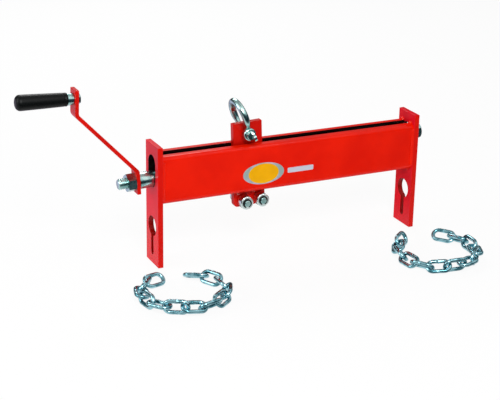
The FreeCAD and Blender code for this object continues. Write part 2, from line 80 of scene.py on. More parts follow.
# Finish of each slot in the record, and of the nodes that have one of their own
SLOT_LOOKS = {
    "red_paint": "red_stove_enamel",
    "zinc": "bright_zinc_plate",
    "black_plastic": "moulded_black_plastic",
    "black_steel": "black_phosphate",
}
NODE_LOOKS = {
    # The crank's arm takes the darker red copy of the enamel, a painted shade
    "crank_arm": "dark_red_stove_enamel",
    # The channels' enamel has a near black painted shade inside
    "front_channel": "red_enamel_painted_shade_inside",
    "rear_channel": "red_enamel_painted_shade_inside",
    # End plates: a cooler red on the broad faces as painted reflection, and painted shade on the edges and in the
    # slots
    "left_end_plate": "red_enamel_painted_sheen_and_shade",
    "right_end_plate": "red_enamel_painted_sheen_and_shade",
    "front_left_roller": "ground_roller_steel",
    "front_right_roller": "ground_roller_steel",
    "rear_left_roller": "ground_roller_steel",
    "rear_right_roller": "ground_roller_steel",
}


def linear(text):
    """sRGB hex colour as linear RGBA."""
    raw = np.array([int(text[i:i + 2], 16) for i in (1, 3, 5)]) / 255
    bent = np.where(raw <= 0.04045, raw / 12.92, ((raw + 0.055) / 1.055) ** 2.4)
    return (*bent.tolist(), 1.0)


def colour(label, words, text):
    """Colour property with a hex default."""
    return FloatVectorProperty(name=label, description=words, subtype="COLOR", size=4, min=0, max=1,
                               default=linear(text))


def length(label, words, millimetres):
    """Length property with a default in millimetres."""
    return FloatProperty(name=label, description=words, unit="LENGTH", min=0, precision=5,
                         default=millimetres * MM)


# Sizes and colours that a user would change


class LevelerSizes(bpy.types.PropertyGroup):
    """Sizes of the fine forms."""
    thread_lead: length("Thread lead", "Travel of the carriage per turn of the crank", 4.0)
    thread_depth: length("Thread depth", "Crest to root of the spindle thread", 1.7)
    weld_ripple: length("Weld ripple", "Spacing of the ripples along a weld bead", 3.2)
    link_bar: length("Link bar", "Diameter of the chain's bar", 7.5)
    link_length: length("Link length", "Outer length of a chain link", 49.0)
    link_width: length("Link width", "Outer width of a chain link", 28.5)
    link_swell: length("Link swell", "How far the weld in a link's side stands proud", 0.35)
    bow_crown: length("Bow crown", "Bar diameter at the top of the shackle", 12.6)
    bow_leg: length("Bow leg", "Bar diameter of the shackle just above its eyes", 9.0)
    badge_width: length("Badge width", "Width of the oval plate on the beam", 84.0)
    badge_height: length("Badge height", "Height of the oval plate on the beam", 42.0)
    field_width: length("Field width", "Width of the yellow field in the oval plate", 62.0)
    field_height: length("Field height", "Height of the yellow field in the oval plate", 38.5)
    badge_along: length("Badge place", "Beam's left end to the middle of the oval plate", 202.0)
    badge_up: length("Badge rise", "Beam's underside to the middle of the oval plate", 34.4)
    label_width: length("Label width", "Width of the blank label on the beam", 54.0)
    label_height: length("Label height", "Height of the blank label on the beam", 10.0)
    label_along: length("Label place", "Beam's left end to the middle of the label", 279.0)
    label_up: length("Label rise", "Beam's underside to the middle of the label", 33.4)


class LevelerColours(bpy.types.PropertyGroup):
    """Colours of the finishes."""
    enamel: colour("Enamel", "Red stove enamel on the frame", "#EC1A00")
    enamel_deep: colour("Enamel, deep", "Where the enamel lies thicker", "#E01400")
    # The end plates' cooler red is a painted pink reflection on their broad faces
    plate: colour("Plate enamel", "Slightly cooler red enamel on the end plates", "#E61426")
    plate_deep: colour("Plate enamel, deep", "Where the plates' enamel lies thicker", "#DA1020")
    # The darker red is painted shade: on the carriage, the crank's arm and the end plates' long edges
    carriage: colour("Carriage enamel", "Darker red enamel on the carriage, crank arm and plate edges",
                     "#D61206")
    carriage_deep: colour("Carriage enamel, deep", "Where the darker enamel lies thicker", "#C20E04")
    # Near black painted shade inside the channels, on their lips and on the spindle slots' walls
    inside: colour("Channel inside", "Thin dark overspray inside the channels and slots", "#140708")
    # A darker red on the keyholes' cut walls
    edge: colour("Keyhole walls", "Thin enamel on the cut walls of the keyholes", "#8E0A05")
    zinc: colour("Zinc", "Bright zinc plate on the hardware", "#BEDCD8")
    zinc_cool: colour("Zinc, cool", "Bluish cast in the zinc plate", "#8EB8B6")
    roller: colour("Rollers", "Ground steel of the rollers", "#EEF6F4")
    roller_cool: colour("Rollers, cool", "Cooler patches on the rollers", "#D2E2E0")
    silver: colour("Silver", "Silver ink on the oval plate", "#B7B2C6")
    silver_cool: colour("Silver, cool", "Where the silver ink turns grey green", "#93A8A6")
    chain: colour("Chain", "Zinc plate on the chain", "#98C6D0")
    chain_dull: colour("Chain, dull", "Dull patches on the chain", "#447A86")
    grip: colour("Grip", "Moulded black plastic", "#090B0B")
    badge: colour("Badge", "Yellow field of the oval plate", "#F4B000")
    label: colour("Label", "Blank label", "#C4C6D4")
    phosphate: colour("Phosphate", "Black spring steel", "#1A1B1C")
    floor: colour("Floor", "Pale studio floor", "#F7F7F7")


def sizes():
    """Sizes set in the scene."""
    return bpy.context.scene.leveler_sizes


def colours():
    """Colours set in the scene."""
    return bpy.context.scene.leveler_colours


# Materials


def add(tree, kind, links=None, values=None, **settings):
    """Adds one node: its settings, its constant sockets and the outputs wired into it."""
    made = tree.nodes.new(kind)
    for key, value in settings.items():
        setattr(made, key, value)
    for key, value in (values or {}).items():
        made.inputs[key].default_value = value
    for key, source in (links or {}).items():
        tree.links.new(source, made.inputs[key])
    return made


def blank(name):
    """New material with a Principled shader; gives it, its tree, the shader and Object coordinates."""
    made = bpy.data.materials.new(name)
    made.use_nodes = True
    tree = made.node_tree
    tree.nodes.clear()
    shader = add(tree, "ShaderNodeBsdfPrincipled")
    add(tree, "ShaderNodeOutputMaterial", {"Surface": shader.outputs[0]})
    return made, tree, shader, add(tree, "ShaderNodeTexCoord").outputs["Object"]


def ramp(tree, source, stops):
    """Colour ramp over a pattern, from (place, colour) stops."""
    made = add(tree, "ShaderNodeValToRGB", {"Fac": source})
    elements = made.color_ramp.elements
    for _ in stops[2:]:
        elements.new(1.0)
    for element, (place, shade) in zip(elements, stops):
        element.position = place
        element.color = shade
    return made.outputs["Color"]


def enamel(name, deep, plain, coat=0.25):
    """Stove enamel on steel: even gloss red with faint clouds and the orange peel of a sprayed coat."""
    made, tree, shader, place = blank(name)
    cloud = add(tree, "ShaderNodeTexNoise", {"Vector": place}, {"Scale": 1 / (55 * MM), "Detail": 3.0})
    shade = ramp(tree, cloud.outputs[0], ((0.35, deep), (0.65, plain)))
    tree.links.new(shade, shader.inputs["Base Color"])
    # Orange peel is about 1 mm across, drawn at 2.5 mm so that it shows
    peel = add(tree, "ShaderNodeTexNoise", {"Vector": place}, {"Scale": 1 / (2.5 * MM), "Detail": 2.0})
    gloss = add(tree, "ShaderNodeMapRange", {"Value": cloud.outputs[0]},
                {"From Min": 0.3, "From Max": 0.7, "To Min": 0.30, "To Max": 0.40})
    tree.links.new(gloss.outputs[0], shader.inputs["Roughness"])
    bump = add(tree, "ShaderNodeBump", {"Height": peel.outputs[0]},
               {"Strength": 0.12, "Distance": 0.4 * MM})
    tree.links.new(bump.outputs["Normal"], shader.inputs["Normal"])
    shader.inputs["Specular IOR Level"].default_value = 0.05
    shader.inputs["Coat Weight"].default_value = coat
    shader.inputs["Coat Roughness"].default_value = 0.1
    return made


def shade_where(made, mask, shade):
    """Mixes another colour into a material's own where the mask is 1."""
    tree = made.node_tree
    shader = next(node for node in tree.nodes if node.type == "BSDF_PRINCIPLED")
    source = shader.inputs["Base Color"].links[0].from_socket
    mixed = add(tree, "ShaderNodeMix", {"Factor": mask, "A": source}, {"B": shade}, data_type="RGBA")
    tree.links.new(mixed.outputs["Result"], shader.inputs["Base Color"])


def within(tree, source, limit, soft):
    """Mask that is 1 below a limit and fades to 0 over a soft width."""
    return add(tree, "ShaderNodeMapRange", {"Value": source},
               {"From Min": limit, "From Max": limit + soft, "To Min": 1.0, "To Max": 0.0}).outputs[0]


def in_slot(tree, place, middle, half_run, radius):
    """Mask of a round-ended upright slot, seen along X: places within its radius of its middle line."""
    off = add(tree, "ShaderNodeVectorMath", {0: place}, {1: middle}, operation="SUBTRACT")
    flat = add(tree, "ShaderNodeVectorMath", {0: off.outputs[0]}, {1: (0.0, 1.0, 1.0)},
               operation="MULTIPLY")
    size = add(tree, "ShaderNodeVectorMath", {0: flat.outputs[0]}, operation="ABSOLUTE")
    past = add(tree, "ShaderNodeVectorMath", {0: size.outputs[0]}, {1: (0.0, 0.0, half_run)},
               operation="SUBTRACT")
    kept = add(tree, "ShaderNodeVectorMath", {0: past.outputs[0]}, operation="MAXIMUM")
    away = add(tree, "ShaderNodeVectorMath", {0: kept.outputs[0]}, operation="LENGTH")
    return within(tree, away.outputs["Value"], radius + PAST_EDGE, EDGE_FADE)


def plate_enamel_with_painted_light():
    """Red enamel on the end plates with painted light: a cooler red on their broad faces is a painted pink
    reflection, and their long edges take the carriage's darker red, a painted shade.

    The keyholes' cut walls are a darker red, and the spindle slots' walls a near black painted shade."""
    made = enamel("red_enamel_painted_sheen_and_shade", colours().plate_deep, colours().plate, coat=0.14)
    tree = made.node_tree
    low, high = np.array(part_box("left_end_plate"))
    centre = (low[1] + high[1]) / 2
    place = add(tree, "ShaderNodeTexCoord").outputs["Object"]
    off = add(tree, "ShaderNodeVectorMath", {0: place}, {1: (0.0, centre, 0.0)}, operation="SUBTRACT")
    size = add(tree, "ShaderNodeVectorMath", {0: off.outputs[0]}, operation="ABSOLUTE")
    apart = add(tree, "ShaderNodeSeparateXYZ", {0: size.outputs[0]})
    rim = high[1] - centre - PAST_EDGE
    edges = add(tree, "ShaderNodeMapRange", {"Value": apart.outputs["Y"]},
                {"From Min": rim - EDGE_FADE, "From Max": rim})
    # The plates' long edges take the carriage's darker red, a painted shade
    shade_where(made, edges.outputs[0], colours().carriage)
    # Painted shade, near black, on the spindle slots' walls; the keyholes' cut walls a darker red
    for (base, top, radius), shade in ((SPINDLE_SLOT, colours().inside), (KEYHOLE_BORE, colours().edge),
                                       (KEYHOLE_SLIT, colours().edge)):
        middle = (0.0, centre, low[2] + (base + top) / 2)
        mask = in_slot(tree, place, middle, (top - base) / 2 - radius, radius)
        shade_where(made, mask, shade)
    return made


def red_enamel():
    """Bright red enamel of the frame."""
    return enamel("red_stove_enamel", colours().enamel_deep, colours().enamel)


def carriage_painted_shade_enamel():
    """Darker red copy of the frame's enamel for the carriage and the crank's arm, which look darker than the beam:
    a painted shade.
    """
    return enamel("dark_red_stove_enamel", colours().carriage_deep, colours().carriage)


def channel_enamel_with_painted_shade():
    """Red enamel on the channels' outer faces; inside them and on the lips by the gap, a near black painted shade.
    """
    made = enamel("red_enamel_painted_shade_inside", colours().enamel_deep, colours().enamel)
    tree = made.node_tree
    low, high = np.array(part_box("front_channel")[0]), np.array(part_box("rear_channel")[1])
    place = add(tree, "ShaderNodeTexCoord").outputs["Object"]
    middle = (low + high) / 2
    depth = (high - low) / 2 - CHANNEL_WALL
    off = add(tree, "ShaderNodeVectorMath", {0: place}, {1: middle.tolist()}, operation="SUBTRACT")
    off = add(tree, "ShaderNodeVectorMath", {0: off.outputs[0]}, operation="ABSOLUTE")
    apart = add(tree, "ShaderNodeSeparateXYZ", {0: off.outputs[0]})
    # Just past the walls' inner faces, and short of the outer corners' rounding
    masks = [within(tree, apart.outputs[axis], depth[axis] + CHANNEL_WALL / 10, CHANNEL_WALL / 6)
             for axis in (1, 2)]
    inside = add(tree, "ShaderNodeMath", {0: masks[0], 1: masks[1]}, operation="MULTIPLY")
    # The lips either side of the gap take the same near black painted shade
    edges = within(tree, apart.outputs[1], BEAM_GAP / 2 + PAST_EDGE, CHANNEL_WALL / 8)
    either = add(tree, "ShaderNodeMath", {0: inside.outputs[0], 1: edges}, operation="MAXIMUM")
    shade_where(made, either.outputs[0], colours().inside)
    return made


def plated(name, cool, pale):
    """Bright plated steel: pale metal with a cooler cast that drifts, and a fine satin grain."""
    made, tree, shader, place = blank(name)
    drift = add(tree, "ShaderNodeTexNoise", {"Vector": place}, {"Scale": 1 / (18 * MM), "Detail": 4.0})
    shade = ramp(tree, drift.outputs[0], ((0.38, cool), (0.62, pale)))
    tree.links.new(shade, shader.inputs["Base Color"])
    # Plating grain is about 0.2 mm, drawn at 0.8 mm so that it shows
    grain = add(tree, "ShaderNodeTexNoise", {"Vector": place}, {"Scale": 1 / (0.8 * MM), "Detail": 2.0})
    gloss = add(tree, "ShaderNodeMapRange", {"Value": grain.outputs[0]},
                {"From Min": 0.3, "From Max": 0.7, "To Min": 0.16, "To Max": 0.26})
    tree.links.new(gloss.outputs[0], shader.inputs["Roughness"])
    bump = add(tree, "ShaderNodeBump", {"Height": grain.outputs[0]},
               {"Strength": 0.08, "Distance": 0.2 * MM})
    tree.links.new(bump.outputs["Normal"], shader.inputs["Normal"])
    shader.inputs["Metallic"].default_value = 1.0
    return made


def zinc_plate():
    """Bright zinc plate on the hardware, with its bluish cast."""
    return plated("bright_zinc_plate", colours().zinc_cool, colours().zinc)


def roller_steel():
    """Ground steel of the rollers, nearly white where the zinc is bluish."""
    return plated("ground_roller_steel", colours().roller_cool, colours().roller)


def silver_print():
    """Silver ink on the oval plate: pale and matt, drifting from lilac to grey green along the oval."""
    made, tree, shader, place = blank("silver_print")
    drift = add(tree, "ShaderNodeTexNoise", {"Vector": place}, {"Scale": 1 / (22 * MM), "Detail": 1.0})
    shade = ramp(tree, drift.outputs[0], ((0.40, colours().silver_cool), (0.60, colours().silver)))
    tree.links.new(shade, shader.inputs["Base Color"])
    gloss = add(tree, "ShaderNodeMapRange", {"Value": drift.outputs[0]},
                {"From Min": 0.3, "From Max": 0.7, "To Min": 0.3, "To Max": 0.45})
    tree.links.new(gloss.outputs[0], shader.inputs["Roughness"])
    return made


def chain_zinc():
    """Barrel-plated chain: bright zinc with dull patches and small tumbling dents."""
    made, tree, shader, place = blank("barrel_plated_chain")
    patch = add(tree, "ShaderNodeTexNoise", {"Vector": place}, {"Scale": 1 / (12 * MM), "Detail": 5.0})
    shade = ramp(tree, patch.outputs[0], ((0.36, colours().chain_dull), (0.60, colours().chain)))
    tree.links.new(shade, shader.inputs["Base Color"])
    gloss = add(tree, "ShaderNodeMapRange", {"Value": patch.outputs[0]},
                {"From Min": 0.35, "From Max": 0.65, "To Min": 0.26, "To Max": 0.12})
    tree.links.new(gloss.outputs[0], shader.inputs["Roughness"])
    dents = add(tree, "ShaderNodeTexVoronoi", {"Vector": place}, {"Scale": 1 / (4 * MM)})
    bump = add(tree, "ShaderNodeBump", {"Height": dents.outputs["Distance"]},
               {"Strength": 0.12, "Distance": 0.6 * MM})
    tree.links.new(bump.outputs["Normal"], shader.inputs["Normal"])
    shader.inputs["Metallic"].default_value = 1.0
    return made


def moulded_black():
    """Injection-moulded black plastic: deep black with a soft sheen and spark-eroded grain."""
    made, tree, shader, place = blank("moulded_black_plastic")
    # Mould grain is about 0.3 mm, drawn at 0.9 mm so that it shows
    grain = add(tree, "ShaderNodeTexNoise", {"Vector": place}, {"Scale": 1 / (0.9 * MM), "Detail": 2.0})
    gloss = add(tree, "ShaderNodeMapRange", {"Value": grain.outputs[0]},
                {"From Min": 0.3, "From Max": 0.7, "To Min": 0.34, "To Max": 0.46})
    tree.links.new(gloss.outputs[0], shader.inputs["Roughness"])
    bump = add(tree, "ShaderNodeBump", {"Height": grain.outputs[0]},
               {"Strength": 0.15, "Distance": 0.2 * MM})
    tree.links.new(bump.outputs["Normal"], shader.inputs["Normal"])
    shader.inputs["Base Color"].default_value = colours().grip
    shader.inputs["Specular IOR Level"].default_value = 0.14
    return made


def black_phosphate():
    """Phosphated spring steel: nearly black, dry and slightly mottled."""
    made, tree, shader, place = blank("black_phosphate")
    mottle = add(tree, "ShaderNodeTexNoise", {"Vector": place}, {"Scale": 1 / (1.5 * MM), "Detail": 3.0})
    gloss = add(tree, "ShaderNodeMapRange", {"Value": mottle.outputs[0]},
                {"From Min": 0.3, "From Max": 0.7, "To Min": 0.45, "To Max": 0.6})
    tree.links.new(gloss.outputs[0], shader.inputs["Roughness"])
    shader.inputs["Base Color"].default_value = colours().phosphate
    shader.inputs["Metallic"].default_value = 0.6
    return made


def badge_enamel():
    """Domed yellow resin over a printed field: even colour, a touch deeper in places, very glossy."""
    made, tree, shader, place = blank("yellow_domed_resin")
    cloud = add(tree, "ShaderNodeTexNoise", {"Vector": place}, {"Scale": 1 / (30 * MM), "Detail": 2.0})
    deeper = 0.9
    deep = (*(part * deeper for part in colours().badge[:3]), 1.0)
    shade = ramp(tree, cloud.outputs[0], ((0.35, deep), (0.65, colours().badge)))
    tree.links.new(shade, shader.inputs["Base Color"])
    shader.inputs["Roughness"].default_value = 0.22
    shader.inputs["Specular IOR Level"].default_value = 0.15
    return made


def label_vinyl():
    """Blank silver-grey vinyl label: smooth, slightly uneven in gloss."""
    made, tree, shader, place = blank("silver_grey_vinyl")
    cloud = add(tree, "ShaderNodeTexNoise", {"Vector": place}, {"Scale": 1 / (6 * MM), "Detail": 2.0})
    gloss = add(tree, "ShaderNodeMapRange", {"Value": cloud.outputs[0]},
                {"From Min": 0.3, "From Max": 0.7, "To Min": 0.35, "To Max": 0.5})
    tree.links.new(gloss.outputs[0], shader.inputs["Roughness"])
    shader.inputs["Base Color"].default_value = colours().label
    return made


FINISHES = {
    "red_stove_enamel": red_enamel,
    "dark_red_stove_enamel": carriage_painted_shade_enamel,
    "red_enamel_painted_shade_inside": channel_enamel_with_painted_shade,
    "red_enamel_painted_sheen_and_shade": plate_enamel_with_painted_light,
    "bright_zinc_plate": zinc_plate,
    "ground_roller_steel": roller_steel,
    "silver_print": silver_print,
    "barrel_plated_chain": chain_zinc,
    "moulded_black_plastic": moulded_black,
    "black_phosphate": black_phosphate,
    "yellow_domed_resin": badge_enamel,
    "silver_grey_vinyl": label_vinyl,
}


def finish(name):
    """The named material, made the first time it is asked for."""
    return bpy.data.materials.get(name) or FINISHES[name]()


# Surfaces


def skin(rings, looped=False):
    """Vertices and faces of a closed shell through rings (n, m, 3); looped joins the last to the first.

    Each ring turns from its normal to its binormal, so the faces point outwards. An open end gets a cap."""
    n, m = rings.shape[:2]
    index = np.arange(n * m).reshape(n, m)
    after = np.roll(index, -1, axis=1)
    if looped:
        ahead = np.roll(index, -1, axis=0)
        quads = np.stack([index, after, np.roll(after, -1, axis=0), ahead], axis=2)
    else:
        quads = np.stack([index[:-1], after[:-1], after[1:], index[1:]], axis=2)
    faces = quads.reshape(-1, 4).tolist()
    if not looped:
        faces += [index[0, ::-1].tolist(), index[-1].tolist()]
    return rings.reshape(-1, 3), faces


def rings_along(path, radii, side, count, looped=False):
    """Circles round a path that lies in a plane with normal side: p + r (cos v n + sin v b)."""
    ahead = np.roll(path, -1, axis=0) - np.roll(path, 1, axis=0) if looped else np.gradient(path, axis=0)
    along = ahead / np.linalg.norm(ahead, axis=1, keepdims=True)
    normal = np.broadcast_to(side, path.shape)
    across = np.cross(along, normal)
    turn = np.linspace(0, 2 * np.pi, count, endpoint=False)[None, :, None]
    round_bar = np.cos(turn) * normal[:, None] + np.sin(turn) * across[:, None]
    return path[:, None] + np.reshape(radii, (-1, 1, 1)) * round_bar


def lathe(origin, axis, start, across, places, radii, count):
    """Rings of a turned shape: at each place along the axis, a circle that turns from start to across."""
    turn = np.linspace(0, 2 * np.pi, count, endpoint=False)[None, :, None]
    circle = np.cos(turn) * start + np.sin(turn) * across
    return origin + np.reshape(places, (-1, 1, 1)) * axis + np.reshape(radii, (-1, 1, 1)) * circle


def shells(parts):
    """Several closed shells as one list of vertices and faces."""
    points = []
    faces = []
    base = 0
    for verts, polygons in parts:
        points.append(verts)
        faces += [[i + base for i in face] for face in polygons]
        base += len(verts)
    return np.concatenate(points), faces


def piece(name, verts, faces, material, body, slot=None, crease=40.0):
    """Object with that mesh, its finish and the body that it rides on. The slot argument is not used."""
    mesh = bpy.data.meshes.new(name)
    mesh.from_pydata(verts.tolist(), [], faces)
    mesh.polygons.foreach_set("use_smooth", np.ones(len(mesh.polygons), dtype=bool))
    mesh.set_sharp_from_angle(angle=math.radians(crease))
    mesh.materials.append(finish(material))
    made = bpy.data.objects.new(name, mesh)
    bpy.context.scene.collection.objects.link(made)
    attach(made, body)
    return made


def cad_points(node):
    """Vertices of a CAD node."""
    mesh = NODES[node].data
    flat = np.empty(len(mesh.vertices) * 3)
    mesh.vertices.foreach_get("co", flat)
    return flat.reshape(-1, 3)


def cad_axes(node):
    """Centre of a CAD node's surface and its axes, longest first, from the spread of its area.

    The longest points to +X and the next one upwards."""
    mesh = NODES[node].data
    mesh.calc_loop_triangles()
    corners = np.empty(len(mesh.loop_triangles) * 3, dtype=np.int32)
    mesh.loop_triangles.foreach_get("vertices", corners)
    triangles = cad_points(node)[corners.reshape(-1, 3)]
    sides = triangles[:, 1:] - triangles[:, :1]
    area = np.linalg.norm(np.cross(sides[:, 0], sides[:, 1]), axis=1)
    middle = triangles.mean(axis=1)
    centre = (middle * area[:, None]).sum(axis=0) / area.sum()
    spread = (middle - centre) * np.sqrt(area)[:, None]
    vectors = np.linalg.eigh(spread.T @ spread)[1]
    axes = vectors[:, ::-1].T
    axes[0] *= np.copysign(1, axes[0, 0])
    axes[1] *= np.copysign(1, axes[1, 2])
    return centre, axes


def joint_line(name):
    """Point, axis, and two square directions of a hinge whose axis lies in the XZ plane."""
    joint = JOINTS[name]
    axis = np.array(joint["axis"], dtype=float)
    axis /= np.linalg.norm(axis)
    level = np.array([0.0, 1.0, 0.0])
    return np.array(joint["pos_m"]), axis, level, np.cross(axis, level)


def reach(node, origin, axis):
    """Lowest and highest place of a CAD node along an axis."""
    places = (cad_points(node) - origin) @ axis
    return places.min(), places.max()


# Operators


class LEVELER_OT_finishes(bpy.types.Operator):
    """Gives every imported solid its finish"""
    bl_idname = "leveler.finishes"
    bl_label = "Finish the solids"

    def execute(self, context):
        bodies = frame["record"]["behaviour"]["bodies"]
        for part in frame["record"]["subparts"]:
            node = part["node"]
            look = NODE_LOOKS.get(node, SLOT_LOOKS[part["material_slot"]])
            # Red parts of the carriage take the darker red copy of the enamel, a painted shade
            if look == "red_stove_enamel" and node in bodies["carriage"]:
                look = "dark_red_stove_enamel"
            for place in NODES[node].material_slots:
                place.material = finish(look)
        return {"FINISHED"}


class LEVELER_OT_spindle(bpy.types.Operator):
    """Threaded spindle: r = crest - depth * flank(x / lead - turn), a right-hand trapezoid thread"""
    bl_idname = "leveler.spindle"
    bl_label = "Threaded spindle"

    def execute(self, context):
        origin, axis, level, upward = joint_line("crank_turn")
        low, high = reach("spindle", origin, axis)
        rings_per_turn, points_per_ring = 9, 36
        # Half of the root's flat and a flank's width, as shares of the lead, and the chamfer at each end
        root_half, flank_width, chamfer = 0.12, 0.16, 1.5 * MM
        lead = sizes().thread_lead
        places = np.linspace(low, high, int((high - low) / lead * rings_per_turn))
        turns = np.linspace(0, 1, points_per_ring, endpoint=False)
        wave = np.mod(places[:, None] / lead - turns[None, :], 1.0)
        flank = np.clip((np.abs(wave - 0.5) - root_half) / flank_width, 0, 1)
        edge = np.minimum(places - low, high - places)[:, None]
        runout = np.clip(edge / chamfer, 0, 1)
        radii = SPINDLE_RADIUS - sizes().thread_depth * np.maximum(1 - flank, 1 - runout)
        angle = (2 * np.pi * turns)[None, :, None]
        circle = np.cos(angle) * level + np.sin(angle) * upward
        rings = origin + places[:, None, None] * axis + radii[:, :, None] * circle
        made = piece("threaded_spindle", *skin(rings), "bright_zinc_plate", "spindle_and_crank", "zinc",
                     crease=60.0)
        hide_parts("spindle")
        return {"FINISHED"}


class LEVELER_OT_chains(bpy.types.Operator):
    """Chain links: a round bar along two straights and two half circles, swollen where a side is welded"""
    bl_idname = "leveler.chains"
    bl_label = "Chain links"

    def execute(self, context):
        bar = sizes().link_bar / 2
        bend = sizes().link_width / 2 - bar
        run = sizes().link_length / 2 - bar - bend
        bend_rings, side_rings, points_per_ring = 18, 14, 16
        weld_half = 2.2 * MM
        half = np.linspace(-np.pi / 2, np.pi / 2, bend_rings)
        side = np.linspace(-run, run, side_rings)[1:-1]
        along = np.concatenate([run + bend * np.cos(half), -side, -run - bend * np.cos(half), side])
        across = np.concatenate([bend * np.sin(half), np.full_like(side, bend), -bend * np.sin(half),
                                 np.full_like(side, -bend)])
        weld = np.exp(-(along / weld_half) ** 2) * (across > 0)
        radii = bar + sizes().link_swell * weld
        links = [node for node in NODES if "_chain_link_" in node]
        for node in links:
            centre, (longest, wide, _) = cad_axes(node)
            path = centre + along[:, None] * longest + across[:, None] * wide
            rings = rings_along(path, radii, np.cross(longest, wide), points_per_ring, looped=True)
            name = node.replace("_link_", "_bar_")
            made = piece(name, *skin(rings, looped=True), "barrel_plated_chain", node, "zinc", crease=80.0)
            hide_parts(node)
        return {"FINISHED"}


class LEVELER_OT_shackle(bpy.types.Operator):
    """Shackle bow: a bar that thickens towards its crown, on straight legs that meet two round eyes"""
    bl_idname = "leveler.shackle"
    bl_label = "Shackle bow"

    def execute(self, context):
        pin = np.array(JOINTS["shackle_swing"]["pos_m"])
        centre = cad_axes("shackle_bow")[0]
        level = np.array([0.0, 1.0, 0.0])
        upward = centre - pin
        upward[1] = 0.0
        upward /= np.linalg.norm(upward)
        forward = np.cross(level, upward)
        # The crown's arc and the height of its centre over the pin
        radius, rise = 28.0 * MM, 35.0 * MM
        # Heights over the pin: where a leg starts in its eye, turns inwards, and begins to thicken
        root_rise, shoulder, slim_to, thicken_over = 8.6 * MM, 11.0 * MM, 12.0 * MM, 18.0 * MM
        # An eye's place along the pin, half width, outer radius, bore and rounding
        eye_y, eye_half, outer, bore, soft = 17.5 * MM, 6.5 * MM, 12.2 * MM, 6.55 * MM, 3.5 * MM
        arc_rings, leg_rings, corner_rings, bow_points, eye_points = 64, 16, 7, 20, 40
        climb = rise - shoulder
        below = math.acos(radius / math.hypot(eye_y, climb)) - math.atan2(climb, eye_y)
        sweep = np.linspace(below, math.pi - below, arc_rings)
        arc = np.stack([radius * np.cos(sweep), rise + radius * np.sin(sweep)], axis=1)
        t = np.linspace(0, 1, leg_rings)[:-1, None]
        root, knee = np.array([[eye_y, root_rise], [eye_y, shoulder]])
        leg = (1 - t) ** 2 * root + 2 * t * (1 - t) * knee + t ** 2 * arc[0]
        flat = np.concatenate([leg, arc, (leg * [-1, 1])[::-1]])
        grown = np.clip((flat[:, 1] - slim_to) / thicken_over, 0, 1)
        slim, full = sizes().bow_leg / 2, sizes().bow_crown / 2
        thick = slim + (full - slim) * grown ** 2 * (3 - 2 * grown)
        path = pin + flat[:, :1] * level + flat[:, 1:] * upward
        parts = [skin(rings_along(path, thick, forward, bow_points))]
        turn = np.linspace(0, math.pi / 2, corner_rings)
        corner = np.stack([soft * (1 - np.cos(turn)) - eye_half, outer - soft * (1 - np.sin(turn))], axis=1)
        rim = np.concatenate([[[-eye_half, bore]], corner])
        profile = np.concatenate([rim, (rim * [-1, 1])[::-1]])
        for side in (-1, 1):
            places = profile[:, 0] + side * eye_y
            rings = lathe(pin, level, upward, forward, places, profile[:, 1], eye_points)
            parts.append(skin(rings, looped=True))
        made = piece("forged_bow", *shells(parts), "bright_zinc_plate", "shackle", "zinc", crease=45.0)
        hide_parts("shackle_bow")
        return {"FINISHED"}


def bead(start, end, leg_a, leg_b, ripple):
    """Weld bead between two legs: a bulged section that ripples along the run and tapers at its ends."""
    rings_per_ripple, fewest_rings, section_points = 6, 12, 7
    # Share of the legs in a ripple's trough, what its crest adds, and the ends' size and taper
    trough, crest, end_size, taper = 0.90, 0.13, 0.55, 5.0 * MM
    # How far the section stands out over a superellipse of this power
    proud, power = 0.12, 1.3
    run = np.linalg.norm(end - start)
    count = max(int(run / ripple * rings_per_ripple), fewest_rings)
    s = np.linspace(0, 1, count)
    wave = np.abs(np.sin(np.pi * s * run / ripple))
    swell = (trough + crest * wave) * np.minimum(1, end_size + np.minimum(s, 1 - s) * run / taper)
    turn = np.linspace(0, np.pi / 2, section_points)
    bulge = 1 + proud * np.sin(2 * turn)
    outline = np.stack([np.cos(turn) ** power * bulge, np.sin(turn) ** power * bulge], axis=1)
    section = np.concatenate([[[0.0, 0.0]], outline])
    corner = start + s[:, None] * (end - start)
    rings = corner[:, None] + swell[:, None, None] * (section[:, :1] * leg_a + section[:, 1:] * leg_b)
    if np.dot(np.cross(leg_a, leg_b), end - start) < 0:
        rings = rings[:, ::-1]
    return skin(rings)


class LEVELER_OT_welds(bpy.types.Operator):
    """Weld beads: a rippled, bulged fillet along each joint of the frame and of the carriage"""
    bl_idname = "leveler.welds"
    bl_label = "Weld beads"

    def execute(self, context):
        ripple = sizes().weld_ripple
        x, y, z = np.eye(3)
        low, high = (np.array(corner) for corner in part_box("front_channel"))
        rear = np.array(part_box("rear_channel")[1])
        mid = (low[1] + rear[1]) / 2
        parts = []
        for end, way in ((low[0], 1), (high[0], -1)):
            for face, out in ((low[1], -1), (rear[1], 1)):
                edge = np.array([end, face, 0.0])
                foot = edge + (low[2] + CHANNEL_CORNER) * z
                head = edge + (high[2] - CHANNEL_CORNER) * z
                along = way * WELD_LEG * x
                parts.append(bead(foot, head, along, out * BEAM_SETBACK * y, ripple))
                bend = edge - out * CHANNEL_CORNER * y
                lip = np.array([end, mid + out * BEAM_GAP / 2, 0.0])
                for level, up in ((low[2], -1), (high[2], 1)):
                    parts.append(bead(bend + level * z, lip + level * z, along, up * WELD_LEG * z, ripple))
        made = piece("frame_beads", *shells(parts), "red_stove_enamel", "frame", "red_paint", crease=70.0)
        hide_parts("frame_welds")
        origin, axis, level, upward = joint_line("crank_turn")
        left, right = reach("spindle_block", origin, axis)
        parts = []
        for up in (1, -1):
            for out in (-1, 1):
                edge = origin + BLOCK_SIZE / 2 * up * upward + LUG_THICKNESS / 2 * out * level
                across = CARRIAGE_WELD_LEG * out * level
                rise = CARRIAGE_WELD_LEG * up * upward
                parts.append(bead(edge + left * axis, edge + right * axis, across, rise, ripple))
        made = piece("carriage_beads", *shells(parts), "dark_red_stove_enamel", "carriage", "red_paint",
                     crease=70.0)
        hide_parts("carriage_welds")
        return {"FINISHED"}


